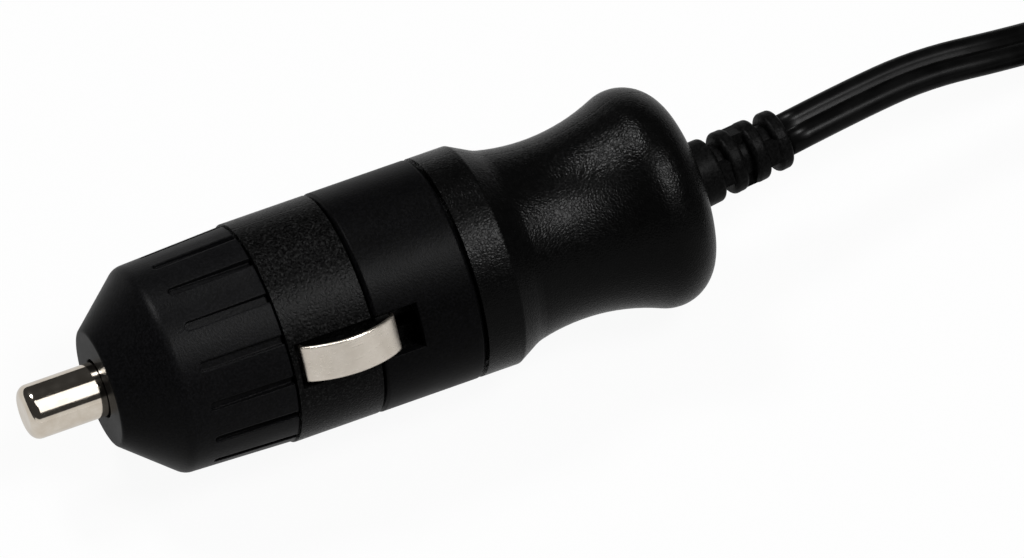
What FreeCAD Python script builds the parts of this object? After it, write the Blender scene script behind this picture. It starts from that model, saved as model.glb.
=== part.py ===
import FreeCAD, Part
import Sketcher
import math
import os
from types import SimpleNamespace

# Car charger plug for a 12 V accessory socket, lying on its side with its cord.
# The plug is drawn along its own X axis, from the front face of the nose cap (x = 0) to the cord.

# Driving sizes, in millimetres and degrees
SIZES = {
    "roll_angle": -32.0,
    "relief_bend": 6.0,
    "running_gap": 0.08,
    "seat_gap": 0.05,
    # Centre contact
    "pin_reach": 7.3,
    "pin_radius": 2.55,
    "pin_end_round": 1.0,
    "pin_flange_radius": 3.6,
    "pin_flange_length": 1.2,
    "pin_cup_depth": 1.0,
    # Nose cap
    "cap_length": 15.2,
    "cap_wall": 1.6,
    "cap_hole_radius": 2.8,
    "cap_face_radius": 5.5,
    "cap_cone_length": 5.0,
    "cap_step": 0.2,
    "cap_taper": 0.42,
    "cap_skirt_wall": 2.12,
    "cap_face_round": 0.4,
    "cap_cone_round": 1.5,
    "cap_chamber_radius": 4.1,
    "cap_thread_start": 5.7,
    "groove_count": 16,
    "groove_start": 7.2,
    "groove_width": 0.85,
    "groove_depth": 0.23,
    "groove_end_slack": 0.0001,
    "groove_phase": 6.0,
    # Carrier with its textured band
    "seam_gap": 0.2,
    "neck_start": 6.1,
    "neck_mouth_radius": 4.1,
    "neck_mouth_depth": 2.2,
    "fuse_bore_radius": 2.95,
    "band_length": 8.0,
    "band_step": 0.04,
    "carrier_spigot_length": 5.1,
    # Side contacts
    "slot_start_wall": 0.5,
    "slot_width": 4.4,
    "slot_depth": 1.9,
    "slot_notch_length": 4.1,
    "wire_channel_width": 1.6,
    "wire_channel_depth": 2.4,
    "wire_channel_length": 4.0,
    "contact_width": 3.4,
    "contact_thickness": 0.3,
    "contact_setback": 0.5,
    "contact_length": 9.2,
    "contact_sink": 0.4,
    "contact_round": 6.8,
    "contact_leg": 0.8,
    # Sleeve
    "sleeve_gap": 0.3,
    "sleeve_length": 9.7,
    "sleeve_radius": 10.4,
    "sleeve_wall": 1.15,
    "sleeve_edge": 0.25,
    # Handle
    "handle_spigot_length": 4.7,
    "collar_length": 3.55,
    "collar_edge_round": 0.3,
    "shoulder_length": 2.3,
    "shoulder_round": 3.0,
    "waist_offset": 7.15,
    "waist_depth": 1.87,
    "waist_round": 19.0,
    "bulb_step": 0.05,
    "bulb_round": 4.05,
    "handle_wall": 2.6,
    "rear_skin": 1.2,
    "relief_groove": 2.2,
    "relief_inner_wall": 0.9,
    "relief_groove_radius": 5.0,
    "relief_hole_radius": 3.2,
    # Strain relief
    "relief_gap": 0.1,
    "relief_flange_radius": 4.5,
    "relief_flange_length": 1.1,
    "relief_neck_radius": 2.85,
    "relief_front_radius": 3.15,
    "relief_rear_radius": 2.8,
    "relief_core_radius": 1.9,
    "relief_first_ring": 2.9,
    "relief_ring": 1.5,
    "relief_slot": 0.9,
    "relief_round": 0.45,
    "relief_rib_width": 2.2,
    "relief_rib_sink": 0.15,
    # Fuse
    "fuse_length": 20.0,
    "fuse_cap_radius": 2.65,
    "fuse_cap_length": 4.8,
    "fuse_cap_wall": 0.2,
    "fuse_glass_wall": 0.5,
    "fuse_wire_radius": 0.15,
    # Spring and terminal
    "spring_radius": 2.0,
    "spring_wire_radius": 0.22,
    "spring_turns": 5.0,
    "terminal_gap": 0.2,
    "terminal_thickness": 0.5,
    "terminal_boss_radius": 1.4,
    "terminal_boss_length": 1.2,
    "terminal_tab_length": 4.4,
    "terminal_tab_width": 2.4,
    # Converter board
    "board_front_gap": 2.0,
    "board_side_gap": 0.07,
    "board_thickness": 1.2,
    "chip_length": 5.0,
    "chip_width": 3.9,
    "chip_height": 1.5,
    "inductor_radius": 3.3,
    "inductor_height": 4.0,
    "diode_length": 2.6,
    "diode_width": 4.4,
    "diode_height": 2.2,
    "diode_shift": 1.0,
    "part_gap": 0.5,
    "capacitor_radius": 2.4,
    "capacitor_length": 7.0,
    "input_capacitor_offset": 2.6,
    "capacitor_gap": 2.0,
    "wire_radius": 0.5,
    "output_wire_spread": 1.2,
    "output_wire_overlap": 2.4,
    "output_wire_gap": 0.5,
    "ground_wire_inset": 0.7,
    "ground_wire_run": 3.0,
    # Cord
    "cord_thickness": 2.2,
    "coil_radius": 21.5,
    "coil_band": 9.2,
    "coil_height": 7.0,
    "coil_edge": 1.6,
    "coil_centre_x": 88.0,
    "coil_centre_y": -13.9,
    "tie_wall": 0.8,
    "tie_width": 5.0,
    "tie_gap": 0.15,
    # Plug on the far end
    "grip_length": 19.0,
    "grip_width": 10.6,
    "grip_height": 6.6,
    "grip_round": 1.6,
    "grip_neck_length": 6.0,
    "grip_neck_radius": 2.6,
    "shell_width": 6.85,
    "shell_height": 1.85,
    "shell_wall": 0.25,
    "shell_corner": 0.7,
    "shell_length": 6.6,
    "shell_sunk": 1.2,
    "insert_height": 0.6,
    "insert_setback": 0.9,
}

FULL_TURN = 360
HALF_TURN = 180
ARC_SHARE = 0.45
RIB_PLANES = ("XY_Plane", "XZ_Plane", "XY_Plane")
ROUND_TOLERANCE = 1e-3
VOLUME_TOLERANCE = 0.01
ALONG_X = "rotation(vector(0; 1; 0); 90)"
UNTURNED = "rotation(vector(0; 0; 1); 0)"

# Points of the cord after the strain relief, and from the coil to the far plug
LEAD_ROUTE = [(46.4, 2.5, 10.2), (57.5, 4.5, 8.2), (70.0, 7.3, 3.8), (80.0, 9.0, 1.6), (88.0, 9.8, 1.6)]
TAIL_ROUTE = [(68.7, -13.9, 5.8), (68.7, -6.5, 6.9), (71.0, 0.0, 8.6), (76.5, 4.1, 10.0), (83.5, 4.1, 10.4)]

doc = FreeCAD.newDocument("car_charger")
sheet = doc.addObject("Spreadsheet::Sheet", "Sizes")
for row, (alias, number) in enumerate(SIZES.items(), start=1):
    sheet.set(f"A{row}", alias.replace("_", " "))
    sheet.set(f"B{row}", str(number))
    sheet.setAlias(f"B{row}", alias)
doc.recompute()


class Size:
    """A size that knows its value and the sheet expression that it comes from."""

    def __init__(self, text, value):
        self.text = text
        self.value = value

    def __add__(self, other):
        return combine(self, "+", other, self.value + as_size(other).value)

    def __sub__(self, other):
        return combine(self, "-", other, self.value - as_size(other).value)

    def __mul__(self, other):
        return combine(self, "*", other, self.value * as_size(other).value)

    def __truediv__(self, other):
        return combine(self, "/", other, self.value / as_size(other).value)

    def __neg__(self):
        return Size(f"(-{self.text})", -self.value)


def as_size(number):
    return number if isinstance(number, Size) else Size(str(number), number)


def combine(first, sign, second, value):
    return Size(f"({first.text} {sign} {as_size(second).text})", value)


def root(square):
    return Size(f"sqrt({square.text})", math.sqrt(square.value))


def cosine(angle):
    return Size(f"cos({angle.text} * 1 deg)", math.cos(math.radians(angle.value)))


def sine(angle):
    return Size(f"sin({angle.text} * 1 deg)", math.sin(math.radians(angle.value)))


s = SimpleNamespace(**{alias: Size(f"Sizes.{alias}", sheet.get(alias)) for alias in SIZES})

# Radii that follow the barrel's
cap_rear_radius = s.sleeve_radius - s.cap_step
cap_front_radius = cap_rear_radius - s.cap_taper
thread_radius = cap_rear_radius - s.cap_skirt_wall
neck_radius = thread_radius - s.running_gap
band_radius = s.sleeve_radius - s.band_step
sleeve_bore = s.sleeve_radius - s.sleeve_wall
spigot_radius = sleeve_bore - s.seat_gap
slot_floor = spigot_radius - s.slot_depth
channel_floor = slot_floor - s.wire_channel_depth
cavity_radius = spigot_radius - s.handle_wall
waist_radius = s.sleeve_radius - s.waist_depth
bulb_radius = s.sleeve_radius - s.bulb_step

# Stations along the plug, from the front face of the cap
band_start = s.cap_length + s.seam_gap
band_end = band_start + s.band_length
carrier_end = band_end + s.carrier_spigot_length
sleeve_start = band_end + s.sleeve_gap
sleeve_end = sleeve_start + s.sleeve_length
collar_start = sleeve_end + s.sleeve_gap
collar_end = collar_start + s.collar_length
handle_start = collar_start - s.handle_spigot_length
flange_start = s.cap_wall + s.seat_gap
fuse_start = flange_start + s.pin_flange_length
fuse_end = fuse_start + s.fuse_length
terminal_end = carrier_end + s.terminal_thickness
board_start = terminal_end + s.board_front_gap
inductor_start = terminal_end + s.terminal_tab_length + s.part_gap
chip_start = inductor_start + s.inductor_radius * 2 + s.part_gap
diode_start = chip_start + s.chip_length + s.part_gap
output_start = diode_start + s.diode_length + s.part_gap
board_end = output_start + s.output_wire_overlap

# The waist and the bulb are two arcs that touch
waist_middle = collar_end + s.waist_offset
waist_centre = waist_radius + s.waist_round
bulb_centre = bulb_radius - s.bulb_round
arcs_reach = s.waist_round + s.bulb_round
arcs_rise = waist_centre - bulb_centre
arcs_run = root(arcs_reach * arcs_reach - arcs_rise * arcs_rise)
bulb_middle = waist_middle + arcs_run
touch_x = bulb_middle - arcs_run * s.bulb_round / arcs_reach
touch_radius = bulb_centre + arcs_rise * s.bulb_round / arcs_reach
shoulder_end = collar_end + s.shoulder_length
shoulder_run = waist_middle - shoulder_end
shoulder_radius = waist_centre - root(s.waist_round * s.waist_round - shoulder_run * shoulder_run)
handle_end = bulb_middle + s.bulb_round

# The strain relief's flange sits in a groove of the handle's rear wall
groove_end = handle_end - s.rear_skin
groove_begin = groove_end - s.relief_groove
cavity_end = groove_begin - s.relief_inner_wall
relief_pivot = groove_begin + s.relief_groove / 2
relief_flange_start = relief_pivot - s.relief_flange_length / 2
relief_flange_end = relief_pivot + s.relief_flange_length / 2
relief_start = handle_end + s.relief_gap
relief_pitch = s.relief_ring + s.relief_slot
relief_end = relief_start + s.relief_first_ring + relief_pitch * len(RIB_PLANES)
relief_reach = relief_end - relief_pivot
relief_tip = relief_pivot + relief_reach * cosine(s.relief_bend) + s.relief_rear_radius * sine(s.relief_bend)

# The plug lies on its sleeve, with the frame under the middle of its length
frame_shift = (relief_tip - s.pin_reach) / 2
lift = s.sleeve_radius

plug_axis = doc.addObject("App::Placement", "plug_axis")
plug_axis.setExpression(
    "Placement",
    f"placement(vector(-{frame_shift.text}; 0; {lift.text});"
    f" rotation(vector(1; 0; 0); {s.roll_angle.text}))",
)
parts = {}


def keep(label, piece):
    piece.Label = label
    parts[label] = piece
    return piece


def new_body(label):
    body = doc.addObject("PartDesign::Body", label)
    body.setExpression("Placement", "plug_axis.Placement")
    return keep(label, body)


def sketch_on(body, role, name, offset=None):
    sketch = body.newObject("Sketcher::SketchObject", name)
    plane = next(feature for feature in body.Origin.OriginFeatures if feature.Role == role)
    sketch.AttachmentSupport = [(plane, "")]
    sketch.MapMode = "FlatFace"
    if offset is not None:
        sketch.setExpression("AttachmentOffset.Base.z", offset.text)
    return sketch


def arc_seed(start, end, radius, side):
    """Arc from start to end with its centre on the left or right of the way; it runs anticlockwise."""
    chord = end - start
    across = FreeCAD.Vector(-chord.y, chord.x, 0).normalize()
    height = math.sqrt(radius**2 - (chord.Length / 2) ** 2)
    centre = (start + end) / 2 + across * (height if side == "left" else -height)
    first, last = (start, end) if side == "left" else (end, start)
    angles = [math.atan2(point.y - centre.y, point.x - centre.x) for point in (first, last)]
    return Part.ArcOfCircle(Part.Circle(centre, FreeCAD.Vector(0, 0, 1), radius), *angles)


def outline(sketch, corners, arcs=None):
    """Closed outline through corners; arcs maps an edge's number to its radius and its centre's side."""
    arcs = arcs or {}
    first = sketch.GeometryCount
    count = len(corners)
    corners = [(as_size(x), as_size(y)) for x, y in corners]
    seeds = [FreeCAD.Vector(x.value, y.value, 0) for x, y in corners]
    ends = []
    for number in range(count):
        start, end = seeds[number], seeds[(number + 1) % count]
        if number in arcs:
            radius, side = arcs[number]
            sketch.addGeometry(arc_seed(start, end, radius.value, side), False)
            ends.append((1, 2) if side == "left" else (2, 1))
        else:
            sketch.addGeometry(Part.LineSegment(start, end), False)
            ends.append((1, 2))
    for number in range(count):
        after = (number + 1) % count
        pair = (first + number, ends[number][1], first + after, ends[after][0])
        sketch.addConstraint(Sketcher.Constraint("Coincident", *pair))
    for number, (x, y) in enumerate(corners):
        point = (first + number, ends[number][0])
        bind(sketch, Sketcher.Constraint("DistanceX", -1, 1, *point, x.value), x)
        bind(sketch, Sketcher.Constraint("DistanceY", -1, 1, *point, y.value), y)
    for number, (radius, side) in arcs.items():
        bind(sketch, Sketcher.Constraint("Radius", first + number, radius.value), radius)
    return sketch


def bind(sketch, constraint, size):
    number = sketch.addConstraint(constraint)
    sketch.setExpression(f"Constraints[{number}]", size.text)


def rectangle(sketch, x_low, x_high, y_low, y_high):
    return outline(sketch, [(x_low, y_low), (x_high, y_low), (x_high, y_high), (x_low, y_high)])


def revolve(body, sketch, name, angle=FULL_TURN, reversed_turn=False):
    turned = body.newObject("PartDesign::Revolution", name)
    turned.Profile = sketch
    turned.ReferenceAxis = (sketch, ["H_Axis"])
    turned.Angle = angle
    turned.Reversed = reversed_turn
    doc.recompute()
    return turned


def pocket_outward(body, sketch, name, outward=True):
    """Cut everything on one side of the sketch's plane."""
    before = body.Shape.Volume
    cut = body.newObject("PartDesign::Pocket", name)
    cut.Profile = sketch
    cut.Type = "ThroughAll"
    cut.Reversed = outward
    doc.recompute()
    if body.Shape.Volume >= before:
        raise RuntimeError(f"{name} cuts nothing")
    return cut


def pocket_through(body, sketch, name):
    before = body.Shape.Volume
    cut = body.newObject("PartDesign::Pocket", name)
    cut.Profile = sketch
    cut.Type = "ThroughAll"
    cut.SideType = "Symmetric"
    doc.recompute()
    if body.Shape.Volume >= before:
        raise RuntimeError(f"{name} cuts nothing")
    return cut


def pad_both_ways(body, sketch, name, length):
    pad = body.newObject("PartDesign::Pad", name)
    pad.Profile = sketch
    pad.SideType = "Symmetric"
    pad.setExpression("Length", length.text)
    doc.recompute()
    return pad


def rims(feature, station, radius):
    """Names of the round edges of a turned feature at one station and radius."""
    names = []
    for number, edge in enumerate(feature.Shape.Edges, start=1):
        curve = edge.Curve
        if isinstance(curve, Part.Circle) and abs(curve.Center.x - station.value) < ROUND_TOLERANCE:
            if abs(curve.Radius - radius.value) < ROUND_TOLERANCE:
                names.append(f"Edge{number}")
    return names


def ring_edges(feature, stations, least_radius):
    """Names of the round edges at these stations that are no smaller than a radius."""
    names = []
    for number, edge in enumerate(feature.Shape.Edges, start=1):
        if isinstance(edge.Curve, Part.Circle):
            near = any(abs(edge.Curve.Center.x - station.value) < ROUND_TOLERANCE for station in stations)
            if near and edge.Curve.Radius > least_radius.value - ROUND_TOLERANCE:
                names.append(f"Edge{number}")
    return names


def fillet(body, feature, edges, radius, name):
    rounded = body.newObject("PartDesign::Fillet", name)
    rounded.Base = (feature, edges)
    rounded.setExpression("Radius", radius.text)
    doc.recompute()
    return rounded


def chamfer(body, feature, edges, size, name):
    edge = body.newObject("PartDesign::Chamfer", name)
    edge.Base = (feature, edges)
    edge.setExpression("Size", size.text)
    doc.recompute()
    return edge


def on_plug(x, y, z, turn=UNTURNED):
    """Placement in the plug's own axes, as an expression."""
    x, y, z = as_size(x), as_size(y), as_size(z)
    return f"plug_axis.Placement * placement(vector({x.text}; {y.text}; {z.text}); {turn})"


def primitive(kind, name, placement, **sizes):
    solid = doc.addObject(kind, name)
    for prop, size in sizes.items():
        solid.setExpression(prop, as_size(size).text)
    solid.setExpression("Placement", placement)
    return solid


def rod(name, start, length, radius, y=0, z=0):
    return primitive("Part::Cylinder", name, on_plug(start, y, z, ALONG_X), Radius=radius, Height=length)


def block(name, corner, sizes):
    length, width, height = sizes
    return primitive("Part::Box", name, on_plug(*corner), Length=length, Width=width, Height=height)


def cut(name, base, tool):
    result = doc.addObject("Part::Cut", name)
    result.Base = base
    result.Tool = tool
    return result


def fuse(name, shapes):
    result = doc.addObject("Part::MultiFuse", name)
    result.Shapes = shapes
    return result


def make_centre_pin():
    body = new_body("centre_pin")
    sketch = sketch_on(body, "XY_Plane", "pin_profile")
    flange_end = flange_start + s.pin_flange_length
    cup_end = flange_end + s.pin_cup_depth
    cup_radius = s.fuse_cap_radius + s.seat_gap
    outline(sketch, [
        (-s.pin_reach, 0),
        (-s.pin_reach, s.pin_radius),
        (flange_start, s.pin_radius),
        (flange_start, s.pin_flange_radius),
        (cup_end, s.pin_flange_radius),
        (cup_end, cup_radius),
        (flange_end, cup_radius),
        (flange_end, 0),
    ])
    turned = revolve(body, sketch, "pin_turned")
    fillet(body, turned, rims(turned, -s.pin_reach, s.pin_radius), s.pin_end_round, "pin_end")


def make_nose_cap():
    body = new_body("nose_cap")
    sketch = sketch_on(body, "XY_Plane", "cap_profile")
    outline(sketch, [
        (0, s.cap_hole_radius),
        (0, s.cap_face_radius),
        (s.cap_cone_length, cap_front_radius),
        (s.cap_length, cap_rear_radius),
        (s.cap_length, thread_radius),
        (s.cap_thread_start, thread_radius),
        (s.cap_thread_start, s.cap_chamber_radius),
        (s.cap_wall, s.cap_chamber_radius),
        (s.cap_wall, s.cap_hole_radius),
    ])
    turned = revolve(body, sketch, "cap_turned")
    cone_edge = rims(turned, s.cap_cone_length, cap_front_radius)
    smooth = fillet(body, turned, cone_edge, s.cap_cone_round, "cap_cone_edge")
    face_edge = rims(smooth, as_size(0), s.cap_face_radius)
    fillet(body, smooth, face_edge, s.cap_face_round, "cap_face_edge")
    groove = sketch_on(body, "XY_Plane", "groove_outline", cap_front_radius - s.groove_depth)
    half = s.groove_width / 2
    end_radius = half + s.groove_end_slack
    outline(
        groove,
        [
            (s.groove_start + half, -half),
            (s.cap_length + s.seam_gap, -half),
            (s.cap_length + s.seam_gap, half),
            (s.groove_start + half, half),
        ],
        {3: (end_radius, "left")},
    )
    first = pocket_outward(body, groove, "grip_groove")
    ring = body.newObject("PartDesign::PolarPattern", "grip_grooves")
    ring.Originals = [first]
    axle = next(feature for feature in body.Origin.OriginFeatures if feature.Role == "X_Axis")
    ring.Axis = (axle, [""])
    ring.Angle = FULL_TURN
    ring.setExpression("Occurrences", s.groove_count.text)
    body.Tip = ring
    turn = f"rotation(vector(1; 0; 0); {s.groove_phase.text})"
    body.setExpression("Placement", on_plug(0, 0, 0, turn))
    doc.recompute()


def make_carrier(label, left):
    """Half of the carrier: the neck for the cap, the textured band and the spigot in the sleeve."""
    body = new_body(label)
    sketch = sketch_on(body, "XZ_Plane", f"{label}_profile")
    mouth_end = s.neck_start + s.neck_mouth_depth
    outline(sketch, [
        (s.neck_start, s.neck_mouth_radius),
        (s.neck_start, neck_radius),
        (band_start, neck_radius),
        (band_start, band_radius),
        (band_end, band_radius),
        (band_end, spigot_radius),
        (carrier_end, spigot_radius),
        (carrier_end, s.fuse_bore_radius),
        (mouth_end, s.fuse_bore_radius),
        (mouth_end, s.neck_mouth_radius),
    ])
    revolve(body, sketch, f"{label}_turned", HALF_TURN, left)
    slot_start = band_start + s.slot_start_wall
    slot_end = sleeve_start + s.slot_notch_length
    half = s.slot_width / 2
    floor = -slot_floor if left else slot_floor
    slot = sketch_on(body, "XZ_Plane", f"{label}_slot", floor)
    rectangle(slot, slot_start, slot_end, -half, half)
    pocket_outward(body, slot, f"{label}_contact_slot", not left)
    floor = -channel_floor if left else channel_floor
    channel = sketch_on(body, "XZ_Plane", f"{label}_channel", floor)
    half = s.wire_channel_width / 2
    rectangle(channel, carrier_end - s.wire_channel_length, carrier_end + s.seam_gap, -half, half)
    pocket_outward(body, channel, f"{label}_wire_channel", not left)


def make_side_contact(label, left):
    """Bowed leaf with two short legs that stand in the carrier's slot."""
    body = new_body(label)
    front = band_start + s.slot_start_wall + s.contact_setback
    rear = front + s.contact_length
    shoulder = s.sleeve_radius - s.contact_sink
    thick = s.contact_thickness
    foot = shoulder - s.contact_leg
    side = 1 if left else -1
    sketch = sketch_on(body, "XY_Plane", f"{label}_profile")
    corners = [
        (front, foot),
        (front, shoulder),
        (rear, shoulder),
        (rear, foot),
        (rear - thick, foot),
        (rear - thick, shoulder - thick / 2),
        (front + thick, shoulder - thick / 2),
        (front + thick, foot),
    ]
    outer, inner = ("right", "left") if left else ("left", "right")
    arcs = {1: (s.contact_round, outer), 5: (s.contact_round - thick, inner)}
    outline(sketch, [(x, y * side) for x, y in corners], arcs)
    pad_both_ways(body, sketch, f"{label}_strip", s.contact_width)


def make_sleeve():
    body = new_body("barrel_sleeve")
    sketch = sketch_on(body, "XY_Plane", "sleeve_profile")
    rectangle(sketch, sleeve_start, sleeve_end, sleeve_bore, s.sleeve_radius)
    turned = revolve(body, sketch, "sleeve_turned")
    edges = rims(turned, sleeve_start, s.sleeve_radius) + rims(turned, sleeve_end, s.sleeve_radius)
    chamfer(body, turned, edges, s.sleeve_edge, "sleeve_edges")
    notch = sketch_on(body, "XZ_Plane", "sleeve_notch")
    half = s.slot_width / 2
    rectangle(notch, band_end, sleeve_start + s.slot_notch_length, -half, half)
    pocket_through(body, notch, "contact_notches")


def make_handle(label, left):
    """Half of the handle: spigot in the sleeve, collar, waist, bulb and the strain relief's seat."""
    body = new_body(label)
    sketch = sketch_on(body, "XZ_Plane", f"{label}_profile")
    corners = [
        (handle_start, cavity_radius),
        (handle_start, spigot_radius),
        (collar_start, spigot_radius),
        (collar_start, s.sleeve_radius),
        (collar_end, s.sleeve_radius),
        (shoulder_end, shoulder_radius),
        (touch_x, touch_radius),
        (handle_end, bulb_centre),
        (handle_end, s.relief_hole_radius),
        (groove_end, s.relief_hole_radius),
        (groove_end, s.relief_groove_radius),
        (groove_begin, s.relief_groove_radius),
        (groove_begin, s.relief_hole_radius),
        (cavity_end, s.relief_hole_radius),
        (cavity_end, cavity_radius),
    ]
    outline(sketch, corners, {5: (s.waist_round, "left"), 6: (s.bulb_round, "right")})
    turned = revolve(body, sketch, f"{label}_turned", HALF_TURN, left)
    shoulder = rims(turned, shoulder_end, shoulder_radius)
    smooth = fillet(body, turned, shoulder, s.shoulder_round, f"{label}_shoulder")
    fillet(body, smooth, rims(smooth, collar_end, s.sleeve_radius), s.collar_edge_round, f"{label}_collar")


def make_strain_relief():
    """Rings joined by ribs that alternate between two directions, on a core round the cord."""
    body = new_body("strain_relief")
    sketch = sketch_on(body, "XY_Plane", "relief_profile")
    outline(sketch, [
        (relief_flange_start, 0),
        (relief_flange_start, s.relief_flange_radius),
        (relief_flange_end, s.relief_flange_radius),
        (relief_flange_end, s.relief_neck_radius),
        (relief_start, s.relief_neck_radius),
        (relief_start, s.relief_front_radius),
        (relief_end, s.relief_rear_radius),
        (relief_end, 0),
    ])
    revolve(body, sketch, "relief_turned")
    gaps = [relief_start + s.relief_first_ring + relief_pitch * number for number in range(len(RIB_PLANES))]
    sketch = sketch_on(body, "XY_Plane", "relief_gap_profile")
    for start in gaps:
        rectangle(sketch, start, start + s.relief_slot, s.relief_core_radius, s.relief_flange_radius)
    cut = body.newObject("PartDesign::Groove", "relief_gaps")
    cut.Profile = sketch
    cut.ReferenceAxis = (sketch, ["H_Axis"])
    cut.Angle = FULL_TURN
    doc.recompute()
    ends = [relief_end, *gaps, *(start + s.relief_slot for start in gaps)]
    edges = ring_edges(cut, ends, s.relief_rear_radius)
    fillet(body, cut, edges, s.relief_round, "relief_ring_edges")
    reach = s.relief_rear_radius - s.relief_rib_sink
    for number, (start, plane) in enumerate(zip(gaps, RIB_PLANES), start=1):
        rib = sketch_on(body, plane, f"relief_rib_{number}")
        seat = s.relief_ring / 2
        rectangle(rib, start - seat, start + s.relief_slot + seat, -reach, reach)
        pad_both_ways(body, rib, f"relief_ribs_{number}", s.relief_rib_width)
    pivot_x = relief_pivot - frame_shift
    bend = f"rotation(vector(0; 0; 1); {s.relief_bend.text})"
    roll = f"rotation(vector(1; 0; 0); {s.roll_angle.text})"
    body.setExpression(
        "Placement",
        f"placement(vector({pivot_x.text}; 0; {lift.text}); {bend})"
        f" * placement(vector(0; 0; 0); {roll})"
        f" * placement(vector(-{relief_pivot.text}; 0; 0); {UNTURNED})",
    )


def make_fuse():
    cap_bore = s.fuse_cap_radius - s.fuse_cap_wall
    glass_radius = cap_bore - s.seat_gap
    glass_start = fuse_start + s.fuse_cap_wall
    glass_length = s.fuse_length - s.fuse_cap_wall * 2
    tube = rod("fuse_tube_outer", glass_start, glass_length, glass_radius)
    hollow = rod("fuse_tube_bore", glass_start, glass_length, glass_radius - s.fuse_glass_wall)
    keep("fuse_glass", cut("fuse_glass", tube, hollow))
    keep("fuse_wire", rod("fuse_wire", glass_start, glass_length, s.fuse_wire_radius))
    depth = s.fuse_cap_length - s.fuse_cap_wall
    rear = fuse_end - s.fuse_cap_length
    for label, start, bore in (
        ("fuse_cap_front", fuse_start, glass_start),
        ("fuse_cap_rear", rear, rear),
    ):
        shell = rod(f"{label}_shell", start, s.fuse_cap_length, s.fuse_cap_radius)
        inside = rod(f"{label}_bore", bore, depth, cap_bore)
        keep(label, cut(label, shell, inside))


def make_spring():
    """Coil spring between the fuse and the terminal."""
    length = carrier_end - fuse_end
    wire = s.spring_wire_radius.value
    radius = s.spring_radius.value
    height = length.value - 2 * wire - 2 * s.seat_gap.value
    helix = Part.makeHelix(height / s.spring_turns.value, height, radius)
    ring = Part.Wire(Part.Circle(FreeCAD.Vector(radius, 0, 0), FreeCAD.Vector(0, 1, 0), wire).toShape())
    coil = Part.Wire(helix).makePipeShell([ring], True, True)
    spring = keep("pin_spring", doc.addObject("Part::Feature", "pin_spring"))
    spring.Shape = coil
    spring.setExpression("Placement", on_plug(fuse_end + s.spring_wire_radius + s.seat_gap, 0, 0, ALONG_X))


def make_terminal():
    plate = rod("terminal_disc", carrier_end, s.terminal_thickness, channel_floor - s.terminal_gap)
    boss_start = carrier_end - s.terminal_boss_length
    boss = rod("terminal_boss", boss_start, s.terminal_boss_length, s.terminal_boss_radius)
    corner = (terminal_end, s.board_thickness / 2, -s.terminal_tab_width / 2)
    tab = block("terminal_tab", corner, (s.terminal_tab_length, s.terminal_thickness, s.terminal_tab_width))
    keep("terminal_plate", fuse("terminal_plate", [plate, boss, tab]))


def make_board():
    top = s.board_thickness / 2
    reach = cavity_radius - s.board_side_gap
    width = root(reach * reach - top * top) * 2
    corner = (board_start, -top, -width / 2)
    board = block("circuit_board", corner, (board_end - board_start, s.board_thickness, width))
    keep("circuit_board", board)
    chip = block(
        "converter_chip",
        (chip_start, top, -s.chip_width / 2),
        (s.chip_length, s.chip_height, s.chip_width),
    )
    keep("converter_chip", chip)
    stand = "rotation(vector(1; 0; 0); -90)"
    inductor = primitive(
        "Part::Cylinder",
        "inductor",
        on_plug(inductor_start + s.inductor_radius, top, 0, stand),
        Radius=s.inductor_radius,
        Height=s.inductor_height,
    )
    keep("inductor", inductor)
    diode = block(
        "diode",
        (diode_start, top, -s.diode_width / 2 - s.diode_shift),
        (s.diode_length, s.diode_height, s.diode_width),
    )
    keep("diode", diode)
    seat = -(top + s.capacitor_radius)
    first = board_start + s.input_capacitor_offset
    second = first + s.capacitor_length + s.capacitor_gap
    for label, start in (("input_capacitor", first), ("output_capacitor", second)):
        keep(label, rod(label, start, s.capacitor_length, s.capacitor_radius, seat))


def make_output_leads():
    length = relief_flange_start - output_start - s.output_wire_gap
    height = s.board_thickness / 2 + s.wire_radius
    for label, place in (
        ("output_lead_positive", s.output_wire_spread),
        ("output_lead_negative", -s.output_wire_spread),
    ):
        keep(label, rod(label, output_start, length, s.wire_radius, height, place))


def bent_path(points):
    """Straight runs joined by tangent arcs, each as large as its two runs allow."""
    edges = []
    radii = []
    start = points[0]
    for before, corner, after in zip(points, points[1:], points[2:]):
        incoming = (corner - before).normalize()
        outgoing = (after - corner).normalize()
        turn = incoming.getAngle(outgoing)
        tangent = ARC_SHARE * min((corner - before).Length, (after - corner).Length)
        radius = tangent / math.tan(turn / 2)
        first = corner - incoming * tangent
        last = corner + outgoing * tangent
        inward = (outgoing - incoming).normalize()
        middle = corner + inward * (radius / math.cos(turn / 2) - radius)
        edges.append(Part.LineSegment(start, first).toShape())
        edges.append(Part.Arc(first, middle, last).toShape())
        radii.append(radius)
        start = last
    edges.append(Part.LineSegment(start, points[-1]).toShape())
    return Part.Wire(edges), radii


def tube(label, points, radius):
    points = [FreeCAD.Vector(*point) for point in points]
    path, radii = bent_path(points)
    ring = Part.Circle(points[0], points[1] - points[0], radius)
    solid = path.makePipeShell([Part.Wire(ring.toShape())], True, False)
    expected = math.pi * radius**2 * path.Length
    if abs(solid.Volume - expected) > VOLUME_TOLERANCE * expected:
        raise RuntimeError(f"{label}: volume {solid.Volume:.2f} is not {expected:.2f}")
    print(label, "length", round(path.Length, 1), "radii", [round(value, 1) for value in radii])
    feature = keep(label, doc.addObject("Part::Feature", label))
    feature.Shape = solid
    return feature


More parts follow.
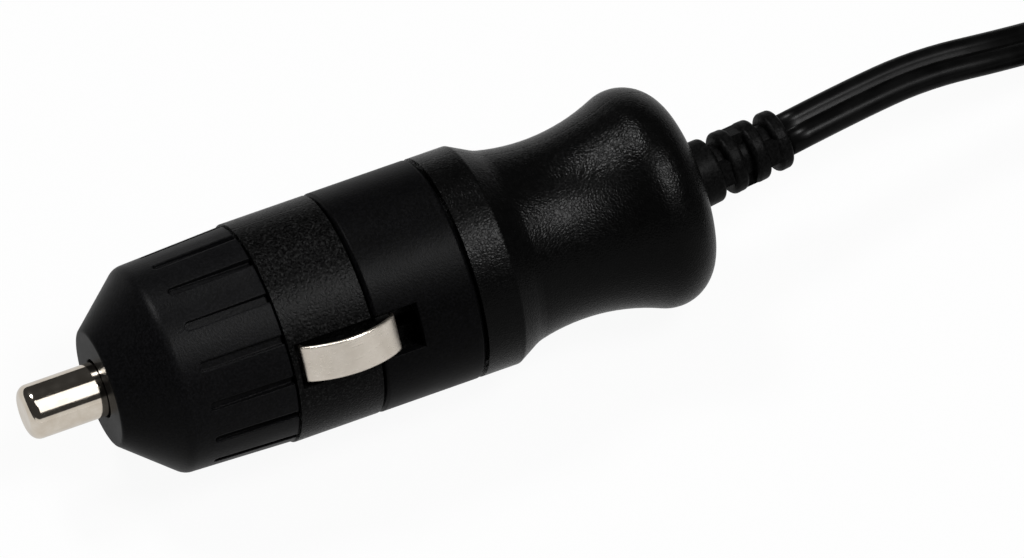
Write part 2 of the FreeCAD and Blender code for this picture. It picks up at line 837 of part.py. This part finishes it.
def make_ground_leads():
    """Wire from each contact's slot to the board."""
    radius = s.wire_radius.value
    height = channel_floor.value + radius + s.running_gap.value
    begin = carrier_end.value - s.wire_channel_length.value + s.seat_gap.value
    landing = s.board_thickness.value / 2 + radius + s.running_gap.value
    edge = cavity_radius.value - s.board_side_gap.value - radius - s.ground_wire_inset.value
    touch = board_start.value + s.ground_wire_run.value
    for label, side in (("ground_lead_left", 1), ("ground_lead_right", -1)):
        points = [
            (begin, side * height, 0),
            (terminal_end.value + radius, side * height, 0),
            (touch, side * landing, edge - radius),
            (touch + s.ground_wire_run.value, side * landing, edge),
        ]
        lead = tube(label, points, radius)
        lead.setExpression("Placement", "plug_axis.Placement")


def cord_radius():
    """A round tube with the same section as the flat twin cord."""
    return s.cord_thickness.value / math.sqrt(2)


def relief_mouth():
    """Where the cord leaves the strain relief."""
    bend = math.radians(s.relief_bend.value)
    reach = relief_reach.value
    pivot = relief_pivot.value - frame_shift.value
    return (pivot + reach * math.cos(bend), reach * math.sin(bend), lift.value)


def make_cord():
    tube("cord_lead", [relief_mouth(), *LEAD_ROUTE], cord_radius())
    tube("cord_tail", TAIL_ROUTE, cord_radius())


def make_coil():
    """Outer shape of the put-away turns."""
    body = keep("cord_coil", doc.addObject("PartDesign::Body", "cord_coil"))
    sketch = sketch_on(body, "XZ_Plane", "coil_section")
    half = s.coil_band / 2
    rectangle(sketch, s.coil_radius - half, s.coil_radius + half, 0, s.coil_height)
    ring = body.newObject("PartDesign::Revolution", "coil_turned")
    ring.Profile = sketch
    ring.ReferenceAxis = (sketch, ["V_Axis"])
    ring.Angle = FULL_TURN
    doc.recompute()
    edges = [
        f"Edge{number}"
        for number, edge in enumerate(ring.Shape.Edges, start=1)
        if isinstance(edge.Curve, Part.Circle)
    ]
    fillet(body, ring, edges, s.coil_edge, "coil_edges")
    centre = f"vector({s.coil_centre_x.text}; {s.coil_centre_y.text}; 0)"
    body.setExpression("Placement", f"placement({centre}; {UNTURNED})")


def make_tie():
    """Band round the coil's section, on its far side from the plug."""
    body = keep("coil_tie", doc.addObject("PartDesign::Body", "coil_tie"))
    sketch = sketch_on(body, "XZ_Plane", "tie_section")
    inner = s.coil_band / 2 + s.tie_gap
    outer = inner + s.tie_wall
    top = s.coil_height + s.tie_gap
    rectangle(sketch, s.coil_radius - outer, s.coil_radius + outer, 0, top + s.tie_wall)
    pad_both_ways(body, sketch, "tie_band", s.tie_width)
    hollow = sketch_on(body, "XZ_Plane", "tie_hollow")
    rectangle(hollow, s.coil_radius - inner, s.coil_radius + inner, -s.tie_wall, top)
    pocket_through(body, hollow, "tie_opening")
    centre = f"vector({s.coil_centre_x.text}; {s.coil_centre_y.text}; 0)"
    body.setExpression("Placement", f"placement({centre}; {UNTURNED})")


def plug_spot(shift, across=0, up=0):
    """Placement on the far plug's axis, which runs on from the end of the cord."""
    (before_x, before_y, _), (end_x, end_y, end_z) = TAIL_ROUTE[-2:]
    heading = math.degrees(math.atan2(end_y - before_y, end_x - before_x))
    shift, across, up = as_size(shift), as_size(across), as_size(up)
    return (
        f"placement(vector({end_x}; {end_y}; {end_z}); rotation(vector(0; 0; 1); {heading}))"
        f" * placement(vector({shift.text}; {across.text}; {up.text}); {UNTURNED})"
    )


def make_usb_plug():
    grip = keep("usb_grip", doc.addObject("PartDesign::Body", "usb_grip"))
    section = sketch_on(grip, "YZ_Plane", "grip_section", s.grip_neck_length)
    half_width, half_height = s.grip_width / 2, s.grip_height / 2
    rectangle(section, -half_width, half_width, -half_height, half_height)
    pad = grip.newObject("PartDesign::Pad", "grip_block")
    pad.Profile = section
    pad.setExpression("Length", s.grip_length.text)
    doc.recompute()
    fillet(grip, pad, [f"Edge{n}" for n in range(1, 13)], s.grip_round, "grip_edges")
    neck = sketch_on(grip, "XY_Plane", "grip_neck_profile")
    neck_end = s.grip_neck_length + s.grip_round
    neck_rise = half_height - s.seat_gap
    outline(neck, [(0, 0), (0, s.grip_neck_radius), (neck_end, neck_rise), (neck_end, 0)])
    revolve(grip, neck, "grip_neck")
    mouth = sketch_on(grip, "YZ_Plane", "grip_mouth", s.grip_neck_length + s.grip_length - s.shell_sunk)
    half_shell = s.shell_width / 2 + s.seat_gap
    half_slot = s.shell_height / 2 + s.seat_gap
    rectangle(mouth, -half_shell, half_shell, -half_slot, half_slot)
    pocket_outward(grip, mouth, "grip_socket")
    grip.setExpression("Placement", plug_spot(0))

    shell_start = s.grip_neck_length + s.grip_length - s.shell_sunk
    shell = keep("usb_shell", doc.addObject("PartDesign::Body", "usb_shell"))
    section = sketch_on(shell, "YZ_Plane", "shell_section", shell_start)
    for inset in (as_size(0), s.shell_wall):
        width, height = s.shell_width / 2 - inset, s.shell_height / 2 - inset
        corner = s.shell_corner - inset / 2
        outline(section, [
            (width, height),
            (-width, height),
            (-width, corner - height),
            (corner - width, -height),
            (width - corner, -height),
            (width, corner - height),
        ])
    pad = shell.newObject("PartDesign::Pad", "shell_sheet")
    pad.Profile = section
    pad.setExpression("Length", s.shell_length.text)
    doc.recompute()
    shell.setExpression("Placement", plug_spot(0))

    inner_width = s.shell_width - s.shell_wall * 2 - s.seat_gap * 2
    top = s.shell_height / 2 - s.shell_wall - s.seat_gap
    insert = primitive(
        "Part::Box",
        "usb_insert",
        plug_spot(shell_start, -inner_width / 2, top - s.insert_height),
        Length=s.shell_length - s.insert_setback,
        Width=inner_width,
        Height=s.insert_height,
    )
    keep("usb_insert", insert)


def check():
    for item in doc.Objects:
        if any(word in item.State for word in ("Invalid", "Error")):
            raise RuntimeError(f"{item.Name} failed: {item.State}")
    for label, piece in parts.items():
        if piece.Shape.isNull() or not piece.Shape.isValid():
            raise RuntimeError(f"{label} has no valid shape")


def write():
    os.makedirs("parts", exist_ok=True)
    for label, piece in parts.items():
        piece.Shape.exportStep(f"parts/{label}.step")


make_centre_pin()
make_nose_cap()
for side, is_left in (("left", True), ("right", False)):
    make_carrier(f"carrier_{side}", is_left)
    make_side_contact(f"side_contact_{side}", is_left)
    make_handle(f"handle_{side}", is_left)
make_sleeve()
make_strain_relief()
make_fuse()
make_spring()
make_terminal()
make_board()
make_ground_leads()
make_output_leads()
make_cord()
make_coil()
make_tie()
make_usb_plug()
doc.recompute()
check()
write()
for label, piece in parts.items():
    box = piece.Shape.BoundBox
    low = [round(value, 2) for value in (box.XMin, box.YMin, box.ZMin)]
    high = [round(value, 2) for value in (box.XMax, box.YMax, box.ZMax)]
    print(label, len(piece.Shape.Solids), round(piece.Shape.Volume, 2), low, high)
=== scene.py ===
import math

import bmesh
import bpy
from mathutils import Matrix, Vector


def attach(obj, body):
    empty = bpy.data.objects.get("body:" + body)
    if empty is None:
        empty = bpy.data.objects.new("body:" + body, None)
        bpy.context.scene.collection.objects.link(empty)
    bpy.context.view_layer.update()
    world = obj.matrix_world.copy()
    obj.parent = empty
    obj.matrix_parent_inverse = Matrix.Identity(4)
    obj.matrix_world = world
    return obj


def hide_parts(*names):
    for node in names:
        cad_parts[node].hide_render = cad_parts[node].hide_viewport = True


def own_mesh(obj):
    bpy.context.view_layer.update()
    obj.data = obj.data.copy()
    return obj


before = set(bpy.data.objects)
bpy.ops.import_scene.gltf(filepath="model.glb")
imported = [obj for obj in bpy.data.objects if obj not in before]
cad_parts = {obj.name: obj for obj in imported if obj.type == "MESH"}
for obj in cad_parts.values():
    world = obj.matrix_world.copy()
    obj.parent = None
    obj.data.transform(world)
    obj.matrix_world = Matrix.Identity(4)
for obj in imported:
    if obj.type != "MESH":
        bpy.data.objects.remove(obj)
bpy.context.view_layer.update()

MM = 0.001
UP = Vector((0, 0, 1))

# View of the photograph: a long lens, looking down on the plug from its front and right
VIEW_TARGET = Vector((8.73, -3.20, 9.80)) * MM
VIEW_BACK = Vector((-0.237, -0.544, 0.805)).normalized()
VIEW_DISTANCE = 1283 * MM
VIEW_LENS = 500
VIEW_SENSOR = 36

# The flat cord: two round cores side by side
CORE_RADIUS = 1.1 * MM
CORE_OFFSET = 1.05 * MM
CORE_OPEN = math.radians(150)
CORE_STEPS = 12

# The cord's route, with the coil between its two ends
EXIT = Vector((37.28, 1.31, 10.4)) * MM
LEAD = [(44.5, 2.55, 10.3), (52.5, 3.8, 9.7), (61.0, 3.65, 8.4), (71.0, 5.6, 4.6), (80.0, 8.9, 1.6)]
TAIL = [(68.7, -13.9, 5.8), (68.7, -6.5, 6.9), (71.0, 0.0, 8.6), (76.5, 4.1, 10.0), (83.5, 4.1, 10.4)]
COIL_CENTRE = Vector((88.0, -13.9, 0.0)) * MM
COLUMN_RADII = (23.7 * MM, 19.3 * MM)
LAYER_HEIGHTS = (1.2 * MM, 3.5 * MM, 5.8 * MM)
COIL_PLACES = [(0, 0), (1, 0), (1, 1), (0, 1), (0, 2), (1, 2)]
COIL_TURNS = 5.75
POINTS_PER_TURN = 24
SHIFT_SHARE = 0.25
STEPS_PER_POINT = 6


def as_points(rows):
    return [Vector(row) * MM for row in rows]


def smooth_step(share):
    share = min(max(share, 0), 1)
    return share * share * (3 - 2 * share)


# Camera
def make_camera():
    camera = bpy.data.objects.new("camera", bpy.data.cameras.new("camera"))
    camera.data.lens = VIEW_LENS
    camera.data.sensor_width = VIEW_SENSOR
    camera.location = VIEW_TARGET + VIEW_BACK * VIEW_DISTANCE
    camera.rotation_euler = VIEW_BACK.to_track_quat("Z", "Y").to_euler()
    bpy.context.collection.objects.link(camera)
    bpy.context.scene.camera = camera


# Cord
def coil_points():
    """Turns of the coil, seen from above clockwise from its +Y side, each in its own column and layer."""
    points = []
    for number in range(1, int(COIL_TURNS * POINTS_PER_TURN)):
        turns = number / POINTS_PER_TURN
        place = int(turns)
        part = smooth_step((turns - place) / SHIFT_SHARE)
        column, layer = COIL_PLACES[place]
        before_column, before_layer = COIL_PLACES[max(place - 1, 0)]
        radius = COLUMN_RADII[before_column] * (1 - part) + COLUMN_RADII[column] * part
        height = LAYER_HEIGHTS[before_layer] * (1 - part) + LAYER_HEIGHTS[layer] * part
        angle = math.pi / 2 - math.tau * turns
        points.append(COIL_CENTRE + Vector((radius * math.cos(angle), radius * math.sin(angle), height)))
    return points


def read_spline(points):
    """Points along the smooth line that has these control points."""
    data = bpy.data.curves.new("route", "CURVE")
    data.dimensions = "3D"
    spline = data.splines.new("NURBS")
    spline.points.add(len(points) - 1)
    for control, point in zip(spline.points, points):
        control.co = (*point, 1)
    spline.order_u = 3
    spline.use_endpoint_u = True
    spline.resolution_u = STEPS_PER_POINT
    route = bpy.data.objects.new("route", data)
    mesh = bpy.data.meshes.new_from_object(route)
    line = [vertex.co.copy() for vertex in mesh.vertices]
    bpy.data.meshes.remove(mesh)
    bpy.data.objects.remove(route)
    bpy.data.curves.remove(data)
    return line


def cord_section():
    """Outline of the two cores and the web between them, as (across, through) pairs."""
    outline = []
    for side in (1, -1):
        for step in range(CORE_STEPS + 1):
            angle = CORE_OPEN * (2 * step / CORE_STEPS - 1)
            across = CORE_OFFSET + CORE_RADIUS * math.cos(angle)
            outline.append((side * across, side * CORE_RADIUS * math.sin(angle)))
    return outline


def sweep_cord(line):
    """The cord's section along the line, with its wide side lying flat."""
    mesh = bmesh.new()
    section = cord_section()
    rings = []
    for number, point in enumerate(line):
        before = line[max(number - 1, 0)]
        after = line[min(number + 1, len(line) - 1)]
        tangent = (after - before).normalized()
        normal = (UP - tangent * UP.dot(tangent)).normalized()
        wide = tangent.cross(normal)
        places = [point + wide * across + normal * through for across, through in section]
        rings.append([mesh.verts.new(place) for place in places])
    for ring, following in zip(rings, rings[1:]):
        for index in range(len(section)):
            near = (index + 1) % len(section)
            mesh.faces.new((ring[index], following[index], following[near], ring[near]))
    mesh.faces.new(rings[0])
    mesh.faces.new(reversed(rings[-1]))
    bmesh.ops.recalc_face_normals(mesh, faces=mesh.faces)
    for face in mesh.faces:
        face.smooth = len(face.verts) == 4
    data = bpy.data.meshes.new("flat_cord")
    mesh.to_mesh(data)
    mesh.free()
    cord = bpy.data.objects.new("flat_cord", data)
    bpy.context.collection.objects.link(cord)
    return cord


def make_cord():
    line = read_spline([EXIT, *as_points(LEAD), *coil_points(), *as_points(TAIL)])
    cord = sweep_cord(line)
    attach(cord, "housing")
    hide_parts("cord_lead", "cord_coil", "cord_tail")
    return cord


def make_spring():
    """A copy of the spring, attached to the housing, with a mesh of its own."""
    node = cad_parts["pin_spring"]
    spring = bpy.data.objects.new("sprung_coil", node.data.copy())
    bpy.context.collection.objects.link(spring)
    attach(spring, "housing")
    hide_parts("pin_spring")
    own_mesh(spring)
    return spring


# Materials
AXIS_HEIGHT = 10.4 * MM
CONTACT_SIDE = Vector((0, -0.848, 0.530))
PARTING_HALF_WIDTH = 0.2 * MM
PARTING_DEPTH = 0.2 * MM
NOISE_LOW = 0.3
NOISE_HIGH = 0.7
EDGE_SAMPLES = 6
COOL = 0.1


class Shader:
    """A material with one Principled shader, and short ways to add and link nodes."""

    def __init__(self, name):
        self.material = bpy.data.materials.new(name)
        self.material.use_nodes = True
        self.tree = self.material.node_tree
        self.surface = self.tree.nodes["Principled BSDF"]
        self.place = self.add("ShaderNodeTexCoord").outputs["Object"]

    def add(self, kind, **settings):
        node = self.tree.nodes.new(kind)
        for name, value in settings.items():
            setattr(node, name, value)
        return node

    def put(self, node, **values):
        """Sets or links a node's inputs; an underscore in a name stands for a space."""
        for name, value in values.items():
            socket = node.inputs[name.replace("_", " ")]
            if isinstance(value, bpy.types.NodeSocket):
                self.tree.links.new(value, socket)
            else:
                socket.default_value = value
        return node

    def finish(self, **values):
        self.put(self.surface, **values)
        return self.material

    def stretched(self, scale):
        mapping = self.add("ShaderNodeMapping")
        self.put(mapping, Vector=self.place, Scale=scale)
        return mapping.outputs["Vector"]

    def wavy(self, size, reach):
        """Places shifted about by soft noise, to bend a pattern's lines."""
        noise = self.add("ShaderNodeTexNoise")
        self.put(noise, Vector=self.place, Scale=1 / size, Detail=1.0)
        shift = self.add("ShaderNodeVectorMath", operation="SCALE")
        self.put(shift, Vector=noise.outputs["Color"], Scale=reach)
        total = self.add("ShaderNodeVectorMath", operation="ADD")
        self.tree.links.new(self.place, total.inputs[0])
        self.tree.links.new(shift.outputs[0], total.inputs[1])
        return total.outputs[0]

    def noise(self, size, detail=2.0, rough=0.5, place=None):
        """Noise whose lumps are about that size in metres."""
        node = self.add("ShaderNodeTexNoise")
        self.put(node, Vector=place or self.place, Scale=1 / size, Detail=detail, Roughness=rough)
        return node.outputs["Fac"]

    def cells(self, size, feature, place=None):
        node = self.add("ShaderNodeTexVoronoi", feature=feature)
        self.put(node, Vector=place or self.place, Scale=1 / size)
        return node.outputs["Distance"]

    def between(self, fac, low, high, from_low=NOISE_LOW, from_high=NOISE_HIGH):
        """Values from low to high as fac goes over its range, by default that of noise."""
        node = self.add("ShaderNodeMapRange")
        self.put(node, Value=fac, From_Min=from_low, From_Max=from_high, To_Min=low, To_Max=high)
        return node.outputs["Result"]

    def ramp(self, fac, *stops):
        """Colours along fac, each stop a position and a linear colour."""
        node = self.add("ShaderNodeValToRGB")
        elements = node.color_ramp.elements
        while len(elements) < len(stops):
            elements.new(1)
        for element, (position, colour) in zip(elements, stops):
            element.position = position
            element.color = (*colour, 1)
        self.put(node, Fac=fac)
        return node.outputs["Color"]

    def soft_edges(self, radius):
        """Normals that round off sharp edges by that radius."""
        node = self.add("ShaderNodeBevel", samples=EDGE_SAMPLES)
        self.put(node, Radius=radius)
        return node.outputs["Normal"]

    def bump(self, height, depth, strength=1.0, under=None):
        node = self.add("ShaderNodeBump")
        self.put(node, Height=height, Distance=depth, Strength=strength)
        if under is not None:
            self.put(node, Normal=under)
        return node.outputs["Normal"]


def grey(value, tint=0.0):
    """A grey whose blue is stronger by the tint."""
    return (value, value, value * (1 + tint))


def parting_groove(shader):
    """Normals with a thin groove where the two moulded halves meet."""
    offset = shader.add("ShaderNodeVectorMath", operation="DOT_PRODUCT")
    offset.inputs[1].default_value = CONTACT_SIDE
    lowered = shader.add("ShaderNodeVectorMath", operation="SUBTRACT")
    lowered.inputs[1].default_value = (0, 0, AXIS_HEIGHT)
    shader.tree.links.new(shader.place, lowered.inputs[0])
    shader.tree.links.new(lowered.outputs[0], offset.inputs[0])
    distance = shader.add("ShaderNodeMath", operation="ABSOLUTE")
    shader.tree.links.new(offset.outputs["Value"], distance.inputs[0])
    height = shader.between(distance.outputs[0], 0, 1, PARTING_HALF_WIDTH / 2, PARTING_HALF_WIDTH)
    return shader.bump(height, PARTING_DEPTH)


def smooth_black(name, dark, light, shine):
    """Smooth moulding with softly broken edges."""
    shader = Shader(name)
    patches = shader.noise(3 * MM, detail=3)
    fine = shader.noise(0.22 * MM, rough=0.7)
    return shader.finish(
        Base_Color=shader.ramp(fine, (0.4, grey(dark, COOL)), (0.75, grey(light, COOL))),
        Roughness=shader.between(patches, 0.34, 0.4),
        Specular_IOR_Level=shine,
        Normal=shader.bump(fine, 0.03 * MM, strength=0.7, under=shader.soft_edges(0.22 * MM)),
    )


def textured_black():
    """Coarse sparked finish of the band, with painted glints where its grains lighten the base colour."""
    shader = Shader("textured_black")
    grains_and_glints = shader.noise(0.24 * MM, rough=0.7)
    pits = shader.cells(0.22 * MM, "SMOOTH_F1")
    under = parting_groove(shader)
    under = shader.bump(pits, 0.03 * MM, strength=0.7, under=under)
    return shader.finish(
        # Base colour: grain tone, with painted glints in the lightest stop on the grains' peaks
        Base_Color=shader.ramp(grains_and_glints, (0.4, grey(0.0008)), (0.55, grey(0.002)), (0.7, grey(0.012))),
        Roughness=shader.between(grains_and_glints, 0.22, 0.4),
        Specular_IOR_Level=0.034,
        Normal=shader.bump(grains_and_glints, 0.05 * MM, strength=0.8, under=under),
    )


def grained_black():
    """Fine leather grain of the handle."""
    shader = Shader("grained_black")
    wander = shader.noise(0.6 * MM)
    worms = shader.cells(0.3 * MM, "DISTANCE_TO_EDGE", place=shader.wavy(0.5 * MM, reach=0.25 * MM))
    grain = shader.between(worms, 0, 1, from_low=0.0, from_high=0.3)
    under = parting_groove(shader)
    under = shader.bump(grain, 0.015 * MM, strength=0.9, under=under)
    fine = shader.noise(0.12 * MM)
    return shader.finish(
        Base_Color=shader.ramp(wander, (0.35, grey(0.001)), (0.7, grey(0.0014))),
        Roughness=shader.between(wander, 0.25, 0.29),
        Specular_IOR_Level=0.055,
        Normal=shader.bump(fine, 0.006 * MM, strength=0.4, under=under),
    )


def soft_pvc():
    """Dull grained skin of the strain relief and the far plug's grip."""
    shader = Shader("soft_pvc")
    patches = shader.noise(1.5 * MM, detail=3)
    fine = shader.noise(0.28 * MM, rough=0.7)
    return shader.finish(
        Base_Color=shader.ramp(fine, (0.4, grey(0.001)), (0.7, grey(0.004))),
        Roughness=shader.between(patches, 0.36, 0.46),
        Specular_IOR_Level=0.03,
        Normal=shader.bump(fine, 0.05 * MM, strength=0.8),
    )


def cord_pvc():
    """Smooth skin of the cord, with a slight ripple."""
    shader = Shader("cord_pvc")
    patches = shader.noise(2 * MM, detail=3)
    ripple = shader.noise(0.7 * MM)
    return shader.finish(
        Base_Color=shader.ramp(patches, (0.35, grey(0.001)), (0.7, grey(0.002))),
        Roughness=shader.between(patches, 0.3, 0.36),
        Specular_IOR_Level=0.07,
        Normal=shader.bump(ripple, 0.008 * MM, strength=0.4),
    )


def nickel():
    """Bright plating with the faint rings of turning."""
    shader = Shader("nickel_plate")
    rings = shader.noise(1.0, place=shader.stretched((9000, 150, 150)))
    smudge = shader.noise(1.2 * MM, detail=3)
    return shader.finish(
        Base_Color=shader.ramp(smudge, (0.3, (0.70, 0.62, 0.52)), (0.75, (0.82, 0.75, 0.65))),
        Metallic=1.0,
        Roughness=shader.between(smudge, 0.05, 0.11),
        Normal=shader.bump(rings, 0.002 * MM, strength=0.3),
    )


def contact_nickel():
    """Satin strip with softly broken edges and fine scratches along its length."""
    shader = Shader("contact_nickel")
    scratches = shader.noise(1.0, detail=3, rough=0.6, place=shader.stretched((350, 7000, 7000)))
    smudge = shader.noise(1.5 * MM, detail=3)
    return shader.finish(
        Base_Color=shader.ramp(smudge, (0.3, (0.76, 0.69, 0.60)), (0.75, (0.86, 0.79, 0.70))),
        Metallic=1.0,
        Roughness=shader.between(scratches, 0.26, 0.36),
        Normal=shader.bump(scratches, 0.02 * MM, strength=0.6, under=shader.soft_edges(0.3 * MM)),
    )


def plain_metal(name, dark, light, rough):
    shader = Shader(name)
    smudge = shader.noise(1.0 * MM, detail=3)
    fine = shader.noise(0.08 * MM)
    return shader.finish(
        Base_Color=shader.ramp(smudge, (0.3, dark), (0.75, light)),
        Metallic=1.0,
        Roughness=shader.between(smudge, *rough),
        Normal=shader.bump(fine, 0.004 * MM, strength=0.4),
    )


def plain_moulding(name, dark, light, rough):
    shader = Shader(name)
    patches = shader.noise(1.2 * MM, detail=3)
    fine = shader.noise(0.1 * MM)
    return shader.finish(
        Base_Color=shader.ramp(patches, (0.35, dark), (0.7, light)),
        Roughness=shader.between(patches, *rough),
        Specular_IOR_Level=0.15,
        Normal=shader.bump(fine, 0.01 * MM, strength=0.4),
    )


def clear_glass():
    shader = Shader("fuse_glass")
    ripple = shader.noise(3 * MM)
    return shader.finish(
        Base_Color=shader.ramp(ripple, (0.3, (0.90, 0.94, 0.93)), (0.7, (0.95, 0.97, 0.97))),
        Roughness=shader.between(ripple, 0.0, 0.03),
        Transmission_Weight=1.0,
        IOR=1.5,
    )


def board_green():
    """Solder mask over faint copper tracks."""
    shader = Shader("board_green")
    tracks = shader.cells(1.6 * MM, "DISTANCE_TO_EDGE")
    return shader.finish(
        Base_Color=shader.ramp(tracks, (0.06, (0.02, 0.11, 0.04)), (0.12, (0.03, 0.17, 0.07))),
        Roughness=shader.between(tracks, 0.3, 0.4),
        Normal=shader.bump(tracks, 0.02 * MM, strength=0.5),
    )


def cover(piece, material):
    piece.data.materials.clear()
    piece.data.materials.append(material)


def dress():
    """Gives every node its material, and makes the cord and the spring."""
    plating = nickel()
    textured = textured_black()
    grained = grained_black()
    soft = soft_pvc()
    steel = plain_metal("steel", (0.50, 0.50, 0.49), (0.62, 0.62, 0.61), rough=(0.18, 0.3))
    can = plain_metal("can_aluminium", (0.66, 0.66, 0.68), (0.76, 0.76, 0.78), rough=(0.25, 0.4))
    epoxy = plain_moulding("chip_epoxy", grey(0.015), grey(0.025), rough=(0.5, 0.65))
    wire = plain_moulding("wire_black", grey(0.01), grey(0.016), rough=(0.3, 0.4))
    red_wire = plain_moulding("wire_red", (0.3, 0.012, 0.01), (0.4, 0.02, 0.015), rough=(0.3, 0.4))
    strip = contact_nickel()
    finishes = {
        "centre_pin": plating,
        "fuse_cap_front": plating,
        "fuse_cap_rear": plating,
        "side_contact_left": strip,
        "side_contact_right": strip,
        "nose_cap": smooth_black("cap_black", dark=0.0018, light=0.005, shine=0.035),
        "barrel_sleeve": smooth_black("sleeve_black", dark=0.0008, light=0.003, shine=0.027),
        "carrier_left": textured,
        "carrier_right": textured,
        "handle_left": grained,
        "handle_right": grained,
        "strain_relief": soft,
        "usb_grip": soft,
        "usb_shell": steel,
        "usb_insert": plain_moulding("insert_plastic", grey(0.012), grey(0.018), rough=(0.4, 0.5)),
        "coil_tie": plain_moulding("tie_plastic", grey(0.003), grey(0.006), rough=(0.4, 0.55)),
        "fuse_glass": clear_glass(),
        "fuse_wire": plain_metal("tinned_wire", (0.55, 0.55, 0.55), (0.66, 0.66, 0.66), rough=(0.2, 0.3)),
        "terminal_plate": plain_metal("brass", (0.62, 0.44, 0.18), (0.78, 0.60, 0.28), rough=(0.2, 0.35)),
        "circuit_board": board_green(),
        "converter_chip": epoxy,
        "diode": epoxy,
        "inductor": plain_moulding("ferrite", grey(0.05), grey(0.08), rough=(0.5, 0.65)),
        "input_capacitor": can,
        "output_capacitor": can,
        "ground_lead_left": wire,
        "ground_lead_right": wire,
        "output_lead_negative": wire,
        "output_lead_positive": red_wire,
    }
    for node, material in finishes.items():
        cover(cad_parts[node], material)
    cover(make_cord(), cord_pvc())
    cover(make_spring(), steel)


# Floor, surroundings and lamps
FLOOR_SIZE = 4.0
FLOOR_SHADE = 0.48
FLOOR_GLOW = 0.94
FLOOR_MIRRORED = 0.69
AROUND = 0.04
HORIZON = 0.15
HORIZON_TILT = (0, 0.3, 1)
HORIZON_START = -0.2
HORIZON_END = 0.05
LAMP_DISTANCE = 0.8


def any_ray(tree, *kinds):
    """1 for rays of these kinds, 0 for all others."""
    path = tree.nodes.new("ShaderNodeLightPath")
    found = path.outputs[kinds[0]]
    for kind in kinds[1:]:
        either = tree.nodes.new("ShaderNodeMath")
        either.operation = "MAXIMUM"
        tree.links.new(found, either.inputs[0])
        tree.links.new(path.outputs[kind], either.inputs[1])
        found = either.outputs[0]
    return found


def make_floor():
    """A pale floor that keeps the shadow; the camera sees it white, metal and glass a little darker."""
    mesh = bmesh.new()
    bmesh.ops.create_grid(mesh, x_segments=1, y_segments=1, size=FLOOR_SIZE / 2)
    data = bpy.data.meshes.new("floor")
    mesh.to_mesh(data)
    mesh.free()
    floor = bpy.data.objects.new("floor", data)
    bpy.context.collection.objects.link(floor)
    material = bpy.data.materials.new("floor")
    material.use_nodes = True
    material.cycles.emission_sampling = "NONE"
    tree = material.node_tree
    tree.nodes.clear()
    shade = tree.nodes.new("ShaderNodeBsdfDiffuse")
    shade.inputs["Color"].default_value = (FLOOR_SHADE, FLOOR_SHADE, FLOOR_SHADE, 1)
    glow = tree.nodes.new("ShaderNodeEmission")
    strength = tree.nodes.new("ShaderNodeMapRange")
    strength.inputs["To Min"].default_value = FLOOR_MIRRORED
    tree.links.new(any_ray(tree, "Is Camera Ray"), strength.inputs["Value"])
    tree.links.new(strength.outputs[0], glow.inputs["Strength"])
    seen = tree.nodes.new("ShaderNodeMath")
    seen.operation = "MULTIPLY"
    seen.inputs[1].default_value = FLOOR_GLOW
    mix = tree.nodes.new("ShaderNodeMixShader")
    output = tree.nodes.new("ShaderNodeOutputMaterial")
    straight = any_ray(tree, "Is Camera Ray", "Is Glossy Ray", "Is Transmission Ray")
    tree.links.new(straight, seen.inputs[0])
    tree.links.new(seen.outputs[0], mix.inputs["Fac"])
    tree.links.new(shade.outputs[0], mix.inputs[1])
    tree.links.new(glow.outputs[0], mix.inputs[2])
    tree.links.new(mix.outputs[0], output.inputs["Surface"])
    data.materials.append(material)


def make_world():
    """White to the camera and through glass; to everything else a dim room with a light front."""
    world = bpy.data.worlds.new("studio")
    world.use_nodes = True
    tree = world.node_tree
    background = tree.nodes["Background"]
    background.inputs["Color"].default_value = (1, 1, 1, 1)
    height = tree.nodes.new("ShaderNodeVectorMath")
    height.operation = "DOT_PRODUCT"
    height.inputs[1].default_value = HORIZON_TILT
    tree.links.new(tree.nodes.new("ShaderNodeTexCoord").outputs["Generated"], height.inputs[0])
    room = tree.nodes.new("ShaderNodeMapRange")
    room.inputs["From Min"].default_value = HORIZON_START
    room.inputs["From Max"].default_value = HORIZON_END
    room.inputs["To Min"].default_value = HORIZON
    room.inputs["To Max"].default_value = AROUND
    tree.links.new(height.outputs["Value"], room.inputs["Value"])
    strength = tree.nodes.new("ShaderNodeMath")
    strength.operation = "MAXIMUM"
    tree.links.new(any_ray(tree, "Is Camera Ray", "Is Transmission Ray"), strength.inputs[0])
    tree.links.new(room.outputs[0], strength.inputs[1])
    tree.links.new(strength.outputs[0], background.inputs["Strength"])
    bpy.context.scene.world = world


def make_lamp(name, direction, size, power):
    lamp = bpy.data.lights.new(name, "AREA")
    lamp.shape = "RECTANGLE"
    lamp.size, lamp.size_y = size
    lamp.energy = power
    spot = bpy.data.objects.new(name, lamp)
    direction = Vector(direction).normalized()
    spot.location = VIEW_TARGET + direction * LAMP_DISTANCE
    spot.rotation_euler = direction.to_track_quat("Z", "Y").to_euler()
    spot.visible_camera = False
    bpy.context.collection.objects.link(spot)


def make_studio():
    make_floor()
    make_world()
    make_lamp("key", (0.33, -0.30, 0.90), size=(0.26, 0.24), power=5.9)
    make_lamp("back_box", (-0.20, 0.50, 0.84), size=(0.17, 0.17), power=5.2)
    make_lamp("table_card", (-0.05, -0.98, 0.14), size=(2.2, 0.24), power=0.98)
    make_lamp("front_card", (0.18, -0.39, 0.90), size=(0.3, 0.96), power=1.54)
    bpy.context.scene.view_settings.view_transform = "Standard"


make_camera()
dress()
make_studio()
